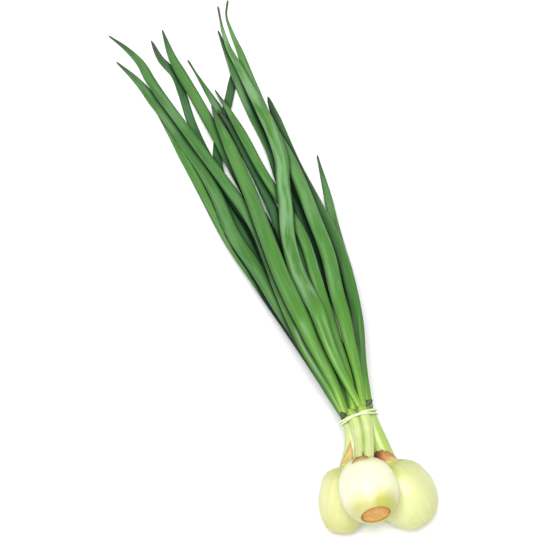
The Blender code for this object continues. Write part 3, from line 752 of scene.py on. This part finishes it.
def shade_on(leaf, above):
    """How much painted shade the leaves above put on a leaf: 1 under them, 0 well beside them."""
    across = flat_route(leaf)
    reach = LONG_SHADE.get(leaf.name, SHADE_REACH)
    columns = [np.array(rows).T for _, rows, _ in above]
    known = {}

    def shade(straight):
        along = round(straight.z, 3)
        if along not in known:
            over = [(np.interp(along, c[0], c[1]), np.interp(along, c[0], c[2]))
                    for c in columns if along < c[0][-1]]
            known[along] = across(along), over
        middle, over = known[along]
        beside = min((abs(middle + straight.x - other) - wide for other, wide in over), default=reach)
        return (1 - soft_step(beside, -0.5, reach)) * soft_step(along, 8.0, 45.0)

    return shade


def leaf_green():
    """Waxy green: lime by the band, deeper with length, veined, with a pale bloom, a withered tip and
    painted shade.
    """
    made, tree, shader = finish_of("onion_leaf", 0.42, subsurface=0.05, depth=0.002, specular=0.3)
    along = node(tree, "SeparateXYZ", {"Vector": read(tree, "straight")}).outputs["Z"]
    length = ranged(tree, along, 0.0, 0.3)
    length.node.interpolation_type = "LINEAR"
    fresh = ramp(tree, length, (
        (0.0, (0.42, 0.60, 0.11)), (0.03, (0.29, 0.52, 0.045)), (0.08, (0.19, 0.43, 0.035)),
        (0.2, (0.135, 0.34, 0.04)), (0.4, (0.12, 0.31, 0.055)), (1.0, (0.115, 0.28, 0.065))))
    # The dark end of the tone: deep green, partly painted shade, near black further along the leaf.
    deep = ramp(tree, length, (
        (0.0, (0.24, 0.34, 0.08)), (0.03, (0.12, 0.22, 0.03)), (0.08, (0.055, 0.15, 0.025)),
        (0.2, (0.025, 0.095, 0.027)), (0.4, (0.02, 0.08, 0.03)), (1.0, (0.022, 0.085, 0.035))))
    tone = ranged(tree, read(tree, "tone"), -0.6, 0.6)
    colour = blend(tree, tone, deep, fresh)
    broad = ranged(tree, streaks(tree, 320.0, 0.03), 0.4, 0.62, 0.0, 0.5)
    colour = blend(tree, broad, colour, (0.045, 0.17, 0.03))
    # Painted shade along both edges of each leaf, where its round sides turn down.
    edge_shade = node(tree, "Math", {0: read(tree, "side")}, operation="ABSOLUTE").outputs[0]
    colour = blend(tree, ranged(tree, edge_shade, 0.6, 1.0, 0.0, 0.6), colour, (0.03, 0.11, 0.025))
    fine = ranged(tree, streaks(tree, 1500.0, 0.012, 3.0), 0.4, 0.62, 0.0, 0.4)
    colour = blend(tree, fine, colour, (0.03, 0.11, 0.018))
    waxy = ranged(tree, streaks(tree, 180.0, 0.12), 0.42, 0.62)
    grown_up = ranged(tree, along, 0.02, 0.09)
    wax = product(tree, product(tree, waxy, grown_up), read(tree, "bloom"))
    colour = blend(tree, wax, colour, (0.20, 0.38, 0.17))
    withered = ranged(tree, read(tree, "to_tip"), 0.002, 0.03, 0.9, 0.0)
    colour = blend(tree, withered, colour, (0.06, 0.085, 0.05))
    # Painted shade under and close beside the leaves above.
    colour = blend(tree, product(tree, read(tree, "shade"), SHADE_FULL), colour, SHADE_COLOUR)
    wire(tree, shader.inputs["Base Color"], colour)
    wire(tree, shader.inputs["Roughness"], ranged(tree, streaks(tree, 260.0, 0.08), 0.3, 0.7, 0.34, 0.52))
    relief(tree, shader, streaks(tree, 1200.0, 0.012, 3.0), 0.35, 0.0003)
    return made


leaf_look = leaf_green()
leaf_pile = pile()
for number, (leaf, rows, up) in enumerate(leaf_pile):
    tip = float(leaf.route[-1][0])
    rings = math.ceil((tip - LEAF_START) / LEAF_RING_STEP)
    profile = [(0.0, LEAF_START)]
    for ring in range(rings):
        along = LEAF_START + (tip - LEAF_START) * ring / rings
        slim_length, slimness = SLIM_TIPS.get(leaf.name, (1.0, 0.0))
        wide = half_width(leaf, along) * min(1.0, (tip - along) / slim_length) ** slimness
        profile.append((max(TIP_HALF_WIDTH, wide), along))
    profile += [(TIP_HALF_WIDTH * 0.6, tip - 0.6), (0.0, tip)]
    grown("leaf_" + leaf.name, turned(profile, LEAF_SIDES), leaf_bend(leaf, rows, up, LEAF_SEED * number),
          leaf_look, "onion_leaf", ["leaves_" + leaf.onion], tone=leaf.tone, bloom=leaf.bloom,
          side=lambda straight: straight.x / max(straight.xy.length, 0.01),
          shade=shade_on(leaf, leaf_pile[number + 1:]),
          to_tip=lambda straight, tip=tip: (tip - straight.z) * MM)

# The sheaths and the cut leaves. Just past the band each neck is still a stalk, whose outer sheath ends in
# a slanting edge and lets the leaves go. Two more leaves were cut off there and have dried at the cut.
SHEATH_START = 0.4
SHEATH_SHORT, SHEATH_LONG = 3.8, 5.2
SHEATH_NARROWS = 0.45
SHEATH_LONG_SIDE = (200.0, 70)              # degrees round the first neck, and more for the next
SHEATH_SIDES = 40
SHEATH_RINGS = 14
STUBS = (
    ("left", 1.9, 4.2, -9.6, 38.3),
    ("right", 2.1, 7.2, 10.4, 40.0),
)
STUB_SIDES = 20
STUB_RINGS = 10
STUB_LONG = 20.0             # the length that a stub's pattern is laid out over
STUB_WALL = 0.5
STUB_WIDE, STUB_SUNK, STUB_SLANT = 1.1, 0.25, 0.8   # its width, how flat its end has sunk, its slanting cut


def sheath_bend(neck, turn):
    """Straight up from the band, narrowing on to the leaves, longer on one side."""
    across, up, radius = neck

    def bend(straight):
        angle = math.atan2(straight.y, straight.x)
        end = SHEATH_SHORT + (SHEATH_LONG - SHEATH_SHORT) * (0.5 + 0.5 * math.cos(angle - turn))
        along = SHEATH_START + (end - SHEATH_START) * straight.z / SHEATH_LONG
        reach = radius * (1 - SHEATH_NARROWS * soft_step(along, 0.0, SHEATH_LONG)) * straight.xy.length
        return Vector((across + reach * math.cos(angle), along, up + reach * math.sin(angle)))

    return bend


def stub_bend(neck, end, radius):
    """From the middle of its neck to its cut end, which stands out to the side."""
    start = Vector((neck[0], LEAF_START, neck[1]))
    way = (end - start).normalized()
    side = way.cross(Vector((0.0, 0.0, 1.0))).normalized()
    over = side.cross(way)

    def bend(straight):
        share = straight.z / STUB_LONG
        slant = STUB_SLANT * straight.x * soft_step(share, 0.7, 0.3)
        dent = 1 - STUB_SUNK * soft_step(share, 0.5, 0.5)
        round_place = side * straight.x * radius * STUB_WIDE + over * straight.y * radius * dent
        return start + way * ((end - start).length * share + slant) + round_place

    return bend


for onion in ONIONS:
    for number, neck in enumerate(onion.necks):
        profile = [(0.0, 0.0), (0.97, 0.0), (1.0, 0.04)]
        profile += [(1.0 - 0.12 * ring / SHEATH_RINGS, ring / SHEATH_RINGS)
                    for ring in range(1, SHEATH_RINGS)]
        profile += [(0.84, 0.99), (0.74, 1.0), (0.6, 0.9), (0.0, 0.85)]
        profile = [(out, share * SHEATH_LONG) for out, share in profile]
        grown("sheath_%s_%d" % (onion.name, number), turned(profile, SHEATH_SIDES),
              sheath_bend(neck, math.radians(SHEATH_LONG_SIDE[0] + SHEATH_LONG_SIDE[1] * number)),
              leaf_look, "onion_leaf",
              ["leaves_" + onion.name], tone=0.6, bloom=0.1, side=0.0, shade=0.0, to_tip=1.0)
for onion_name, radius, along, across, up in STUBS:
    neck = next(onion for onion in ONIONS if onion.name == onion_name).necks[0]
    profile = [(0.0, 0.0)] + [(1.0, 0.02 + 0.95 * ring / STUB_RINGS) for ring in range(STUB_RINGS + 1)]
    profile += [(1.0 - STUB_WALL / radius, 1.0), (0.6, 0.97), (0.0, 0.96)]
    profile = [(out, share * STUB_LONG) for out, share in profile]
    grown("cut_leaf_" + onion_name, turned(profile, STUB_SIDES),
          stub_bend(neck, Vector((across, along, up)), radius), leaf_look, "onion_leaf",
          ["leaves_" + onion_name], tone=-0.6, bloom=0.5, side=0.0, shade=0.0,
          to_tip=lambda straight: (STUB_LONG - straight.z) * MM)

# The rubber band. One thin, pale, slightly see-through loop is wound twice round the four necks. Its two
# turns lie side by side and nearly meet on top, and cross underneath. Both lean back with the necks.
BAND_SWELL = 1.3             # the middle of the band, outside the necks
BAND_WIDE, BAND_HIGH = 0.68, 0.62
BAND_STEPS = 320
BAND_SIDES = 14
BAND_FROM, BAND_TO = (-11.6, 28.8), (12.7, 48.9)   # its middle's least and greatest place, across and up
BAND_MEETS = 0.35            # where its turns come nearest, of its width from the left
BAND_DRIFTS = (1.6, 0.5, 2.5)               # how far apart they are on the left, there and on the right
BAND_LEAN = 0.2
BAND_HUG = 2.5               # a higher one keeps it longer on each neck before it goes to the next
BAND_OVER = 1.6              # how far one turn stands out where it crosses the other


def band_place(turns):
    """The middle of the band after a number of turns from the left, and the way out of the necks."""
    angle = math.pi - math.tau * turns
    way = (math.cos(angle), math.sin(angle))
    circles = [neck for onion in ONIONS for neck in onion.necks]
    reaches = [c[0] * way[0] + c[1] * way[1] + c[2] for c in circles]
    weights = [math.exp((reach - max(reaches)) * BAND_HUG) for reach in reaches]
    total = sum(weights)
    across = sum(w * (c[0] + (c[2] + BAND_SWELL) * way[0]) for w, c in zip(weights, circles)) / total
    up = sum(w * (c[1] + (c[2] + BAND_SWELL) * way[1]) for w, c in zip(weights, circles)) / total
    turn = turns % 2.0
    second = soft_step(turn, 0.5, 0.5) - soft_step(turn, 1.5, 0.5)
    share = (across - BAND_FROM[0]) / (BAND_TO[0] - BAND_FROM[0])
    on_left, meeting, on_right = BAND_DRIFTS
    drift = (on_left + (meeting - on_left) * soft_step(share, 0.0, BAND_MEETS)
             + (on_right - meeting) * soft_step(share, BAND_MEETS, 1 - BAND_MEETS))
    rise = 0.0
    if turn > 1.5:
        rise = BAND_OVER * math.sin(math.pi * (turn - 1.5) / 0.5)
    elif turn > 1.0:
        rise = BAND_HIGH * max(0.0, 1 - drift / on_left)
    lean = BAND_LEAN * (up - (BAND_FROM[1] + BAND_TO[1]) / 2)
    middle = Vector((across + rise * way[0], -second * drift - lean, up + rise * way[1]))
    return middle, Vector((way[0], 0.0, way[1]))


def band_bend(straight):
    """The straight band is one unit long and goes twice round."""
    turns = 2.0 * straight.z
    middle, out = band_place(turns)
    return middle + Vector((0.0, BAND_WIDE * straight.x, 0.0)) + out * BAND_HIGH * straight.y


def band_rubber():
    made, tree, shader = finish_of("band_rubber", 0.38, subsurface=0.4, depth=0.002)
    cloudy = ranged(tree, patches(tree, 500.0, 3.0), 0.35, 0.65, 0.0, 0.5)
    colour = blend(tree, cloudy, (0.74, 0.80, 0.52), (0.66, 0.74, 0.40))
    wire(tree, shader.inputs["Base Color"], colour)
    relief(tree, shader, patches(tree, 2500.0, 2.0), 0.2, 0.0002)
    return made


loop = bmesh.new()
bmesh.ops.create_cone(loop, cap_ends=False, segments=BAND_SIDES, radius1=1.0, radius2=1.0, depth=1.0,
                      matrix=Matrix.Translation((0.0, 0.0, 0.5)))
lengthwise = [edge for edge in loop.edges if abs(edge.verts[0].co.z - edge.verts[1].co.z) > 0.5]
bmesh.ops.subdivide_edges(loop, edges=lengthwise, cuts=BAND_STEPS - 1, use_grid_fill=True)
band = grown("elastic_band", loop, band_bend, band_rubber(), "band_rubber", ["rubber_band"])
closing = bmesh.new()
closing.from_mesh(band.data)
bmesh.ops.remove_doubles(closing, verts=closing.verts, dist=0.00001)
bmesh.ops.recalc_face_normals(closing, faces=closing.faces)
closing.to_mesh(band.data)
closing.free()

# The ground, the light and the camera: a plain white table under an even white sky, with one large soft
# light above, seen from nearly overhead.
FLOOR_SIZE = 2.5
SKY = 0.35
LIGHT_AWAY, LIGHT_SIZE, LIGHT_POWER = Vector((-0.25, -0.4, 1.82)), 0.8, 43.0
CAMERA_FROM_BAND = Vector((-162.0, -291.0, 955.1))
AZIMUTH, ELEVATION = math.radians(-20.0), math.radians(65.0)
LENS, SENSOR = 100.0, 36.0


def white_table():
    made, tree, shader = finish_of("white_table", 0.6, specular=0.2)
    colour = blend(tree, ranged(tree, patches(tree, 3.0), 0.3, 0.7), (0.93, 0.93, 0.93), (0.95, 0.95, 0.95))
    wire(tree, shader.inputs["Base Color"], colour)
    return made


ground = bmesh.new()
bmesh.ops.create_grid(ground, x_segments=2, y_segments=2, size=FLOOR_SIZE / 2)
ground_mesh = bpy.data.meshes.new("table")
ground.to_mesh(ground_mesh)
ground.free()
ground_mesh.materials.append(white_table())
table = bpy.data.objects.new("table", ground_mesh)
bpy.context.scene.collection.objects.link(table)

sky = bpy.data.worlds.new("sky")
sky.use_nodes = True
sky.node_tree.nodes["Background"].inputs["Color"].default_value = (1.0, 1.0, 1.0, 1.0)
sky.node_tree.nodes["Background"].inputs["Strength"].default_value = SKY
bpy.context.scene.world = sky

lamp_data = bpy.data.lights.new("soft_light", "AREA")
lamp_data.size = LIGHT_SIZE
lamp_data.energy = LIGHT_POWER
lamp = bpy.data.objects.new("soft_light", lamp_data)
lamp.location = LIGHT_AWAY
lamp.rotation_euler = LIGHT_AWAY.to_track_quat("Z", "Y").to_euler()
bpy.context.scene.collection.objects.link(lamp)

camera_data = bpy.data.cameras.new("camera")
camera_data.lens = LENS
camera_data.sensor_width = SENSOR
camera = bpy.data.objects.new("camera", camera_data)
back = Vector((math.sin(AZIMUTH) * math.cos(ELEVATION), -math.cos(AZIMUTH) * math.cos(ELEVATION),
               math.sin(ELEVATION)))
camera.location = in_frame(CAMERA_FROM_BAND)
camera.rotation_euler = back.to_track_quat("Z", "Y").to_euler()
bpy.context.scene.collection.objects.link(camera)
bpy.context.scene.camera = camera
bpy.context.scene.view_settings.view_transform = "Standard"
